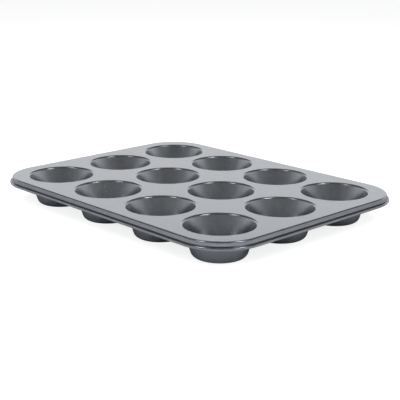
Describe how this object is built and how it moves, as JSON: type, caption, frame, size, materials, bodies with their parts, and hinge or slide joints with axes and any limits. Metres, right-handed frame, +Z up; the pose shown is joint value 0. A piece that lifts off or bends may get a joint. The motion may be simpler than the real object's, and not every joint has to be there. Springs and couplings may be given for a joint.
{
  "type": "muffin tin",
  "caption": "Rectangular muffin tin of coated pressed steel with a grid of tapered round cups, a flat deck with a stepped border, and a rolled edge.",
  "frame": {"origin": "middle of the tin's outline, on the surface that the cup bases stand on", "axes": "+X along the long side of the tin (four cups), +Y along the short side (three cups), +Z up out of the cup mouths"},
  "size_m": [0.345, 0.262, 0.03],
  "materials": {
    "nonstick_coating": "satin grey non-stick coating with a fine metallic fleck"
  },
  "bodies": {
    "root": {"deck": "nonstick_coating", "rolled_edge": "nonstick_coating", "cup_row1_column1": "nonstick_coating", "cup_row1_column2": "nonstick_coating", "cup_row1_column3": "nonstick_coating", "cup_row1_column4": "nonstick_coating", "cup_row2_column1": "nonstick_coating", "cup_row2_column2": "nonstick_coating", "cup_row2_column3": "nonstick_coating", "cup_row2_column4": "nonstick_coating", "cup_row3_column1": "nonstick_coating", "cup_row3_column2": "nonstick_coating", "cup_row3_column3": "nonstick_coating", "cup_row3_column4": "nonstick_coating"}
  },
  "joints": []
}
